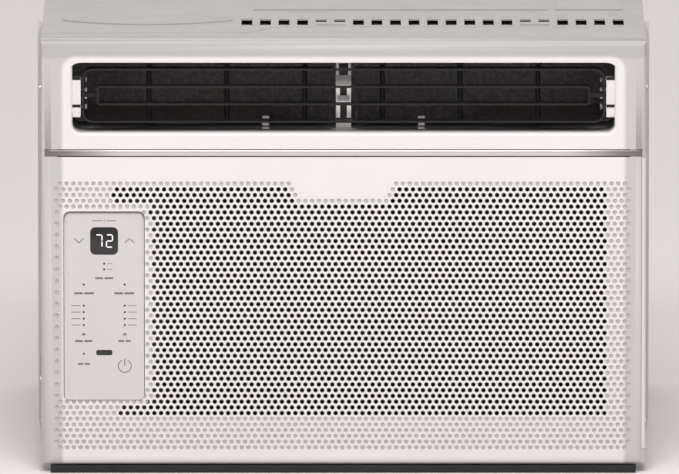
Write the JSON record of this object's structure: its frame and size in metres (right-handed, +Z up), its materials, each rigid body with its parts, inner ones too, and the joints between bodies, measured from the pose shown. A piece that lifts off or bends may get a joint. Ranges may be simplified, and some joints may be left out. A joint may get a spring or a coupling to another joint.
{
  "type": "window air conditioner",
  "caption": "Box window air conditioner with a white perforated front, black tilting louver, side filter, key pad and outdoor fan and coil section.",
  "frame": {"origin": "centre of the bounding box, on the floor plane under the base pan", "axes": "+X to the right seen from the front, +Y from the front panel to the rear, +Z up"},
  "size_m": [0.478, 0.4, 0.34],
  "materials": {
    "white_plastic": "fine satin moulding",
    "silver_trim": "satin silver",
    "black_plastic": "satin",
    "filter_plastic": "satin",
    "filter_net": "woven net",
    "overlay": "printed film",
    "display_glass": "smoked window",
    "light_pipe": "tinted",
    "circuit_board": "solder mask",
    "key_plastic": "satin",
    "cabinet_paint": "powder coat",
    "zinc_sheet": "galvanised",
    "dark_plastic": "satin",
    "screw_steel": "zinc plated",
    "black_rubber": "matte",
    "fin_aluminium": "fin stock",
    "copper": "drawn copper",
    "duct_plastic": "satin",
    "foam": "expanded foam",
    "capacitor_can": "drawn can",
    "motor_paint": "enamel"
  },
  "bodies": {
    "unit": {"front_panel": "white_plastic", "intake_grille": "white_plastic", "trim_strip": "silver_trim", "control_film": "overlay", "display_module": "display_glass", "infrared_window": "display_glass", "indicator_lights": "light_pipe", "control_board": "circuit_board", "relay_board": "circuit_board", "cabinet_top": "cabinet_paint", "cabinet_left": "cabinet_paint", "cabinet_right": "cabinet_paint", "rear_guard": "cabinet_paint", "side_rail_left": "cabinet_paint", "side_rail_right": "cabinet_paint", "base_pan": "zinc_sheet", "bulkhead": "zinc_sheet", "control_box": "zinc_sheet", "motor_bracket": "zinc_sheet", "fan_shroud": "dark_plastic", "sheet_screws": "screw_steel", "compressor_bolts": "screw_steel", "cord_grommet": "black_rubber", "drain_plug": "black_rubber", "compressor_grommets": "black_rubber", "evaporator_fins": "fin_aluminium", "condenser_fins": "fin_aluminium", "evaporator_tubes": "copper", "condenser_tubes": "copper", "discharge_tube": "copper", "suction_tube": "copper", "inlet_ring": "duct_plastic", "scroll_housing": "foam", "run_capacitor": "capacitor_can", "fan_motor": "motor_paint", "compressor": "motor_paint", "accumulator": "motor_paint"},
    "louver": {"louver": "black_plastic"},
    "filter": {"filter_frame": "filter_plastic", "filter_mesh": "filter_net"},
    "rotor": {"motor_shaft": "screw_steel", "blower_wheel": "dark_plastic", "condenser_fan": "dark_plastic"},
    "vane_link_left": {"vane_link_left": "black_plastic"},
    "vane_link_right": {"vane_link_right": "black_plastic"},
    "vane_left_1": {"vane_left_1": "black_plastic"},
    "vane_left_2": {"vane_left_2": "black_plastic"},
    "vane_left_3": {"vane_left_3": "black_plastic"},
    "vane_right_1": {"vane_right_1": "black_plastic"},
    "vane_right_2": {"vane_right_2": "black_plastic"},
    "vane_right_3": {"vane_right_3": "black_plastic"},
    "key_down": {"key_down": "key_plastic"},
    "key_up": {"key_up": "key_plastic"},
    "key_timer": {"key_timer": "key_plastic"},
    "key_filter": {"key_filter": "key_plastic"},
    "key_sleep": {"key_sleep": "key_plastic"},
    "key_mode": {"key_mode": "key_plastic"},
    "key_fan": {"key_fan": "key_plastic"},
    "key_eco": {"key_eco": "key_plastic"},
    "key_power": {"key_power": "key_plastic"}
  },
  "joints": [
    {"name": "louver_tilt", "type": "hinge", "parent": "unit", "child": "louver", "pos_m": [0, -0.191, 0.297], "axis": [1, 0, 0], "range_deg": [-20, 20]},
    {"name": "filter_slide", "type": "slide", "parent": "unit", "child": "filter", "axis": [1, 0, 0], "range_m": [0, 0.36]},
    {"name": "rotor_spin", "type": "hinge", "parent": "unit", "child": "rotor", "pos_m": [0.045, 0, 0.14], "axis": [0, 1, 0], "continuous": true},
    {"name": "vane_left_1_swing", "type": "hinge", "parent": "unit", "child": "vane_left_1", "pos_m": [-0.15125, -0.16, 0.2685], "axis": [0, 0, 1], "range_deg": [-25, 25]},
    {"name": "vane_left_2_swing", "type": "hinge", "parent": "unit", "child": "vane_left_2", "pos_m": [-0.09075, -0.16, 0.2685], "axis": [0, 0, 1], "range_deg": [-25, 25]},
    {"name": "vane_left_3_swing", "type": "hinge", "parent": "unit", "child": "vane_left_3", "pos_m": [-0.03025, -0.16, 0.2685], "axis": [0, 0, 1], "range_deg": [-25, 25]},
    {"name": "vane_link_left_pivot", "type": "hinge", "parent": "vane_left_1", "child": "vane_link_left", "pos_m": [-0.15125, -0.15, 0.2685], "axis": [0, 0, 1], "range_deg": [-25, 25]},
    {"name": "vane_right_1_swing", "type": "hinge", "parent": "unit", "child": "vane_right_1", "pos_m": [0.03025, -0.16, 0.2685], "axis": [0, 0, 1], "range_deg": [-25, 25]},
    {"name": "vane_right_2_swing", "type": "hinge", "parent": "unit", "child": "vane_right_2", "pos_m": [0.09075, -0.16, 0.2685], "axis": [0, 0, 1], "range_deg": [-25, 25]},
    {"name": "vane_right_3_swing", "type": "hinge", "parent": "unit", "child": "vane_right_3", "pos_m": [0.15125, -0.16, 0.2685], "axis": [0, 0, 1], "range_deg": [-25, 25]},
    {"name": "vane_link_right_pivot", "type": "hinge", "parent": "vane_right_1", "child": "vane_link_right", "pos_m": [0.03025, -0.15, 0.2685], "axis": [0, 0, 1], "range_deg": [-25, 25]},
    {"name": "key_down_press", "type": "slide", "parent": "unit", "child": "key_down", "axis": [0, 1, 0], "range_m": [0, 0.00025], "stiffness_N_per_m": 400},
    {"name": "key_up_press", "type": "slide", "parent": "unit", "child": "key_up", "axis": [0, 1, 0], "range_m": [0, 0.00025], "stiffness_N_per_m": 400},
    {"name": "key_timer_press", "type": "slide", "parent": "unit", "child": "key_timer", "axis": [0, 1, 0], "range_m": [0, 0.00025], "stiffness_N_per_m": 400},
    {"name": "key_filter_press", "type": "slide", "parent": "unit", "child": "key_filter", "axis": [0, 1, 0], "range_m": [0, 0.00025], "stiffness_N_per_m": 400},
    {"name": "key_sleep_press", "type": "slide", "parent": "unit", "child": "key_sleep", "axis": [0, 1, 0], "range_m": [0, 0.00025], "stiffness_N_per_m": 400},
    {"name": "key_mode_press", "type": "slide", "parent": "unit", "child": "key_mode", "axis": [0, 1, 0], "range_m": [0, 0.00025], "stiffness_N_per_m": 400},
    {"name": "key_fan_press", "type": "slide", "parent": "unit", "child": "key_fan", "axis": [0, 1, 0], "range_m": [0, 0.00025], "stiffness_N_per_m": 400},
    {"name": "key_eco_press", "type": "slide", "parent": "unit", "child": "key_eco", "axis": [0, 1, 0], "range_m": [0, 0.00025], "stiffness_N_per_m": 400},
    {"name": "key_power_press", "type": "slide", "parent": "unit", "child": "key_power", "axis": [0, 1, 0], "range_m": [0, 0.00025], "stiffness_N_per_m": 400}
  ],
  "couplings": [
    {"joint": "vane_left_2_swing", "follows": "vane_left_1_swing", "ratio": 1},
    {"joint": "vane_left_3_swing", "follows": "vane_left_1_swing", "ratio": 1},
    {"joint": "vane_link_left_pivot", "follows": "vane_left_1_swing", "ratio": -1},
    {"joint": "vane_right_2_swing", "follows": "vane_right_1_swing", "ratio": 1},
    {"joint": "vane_right_3_swing", "follows": "vane_right_1_swing", "ratio": 1},
    {"joint": "vane_link_right_pivot", "follows": "vane_right_1_swing", "ratio": -1}
  ]
}
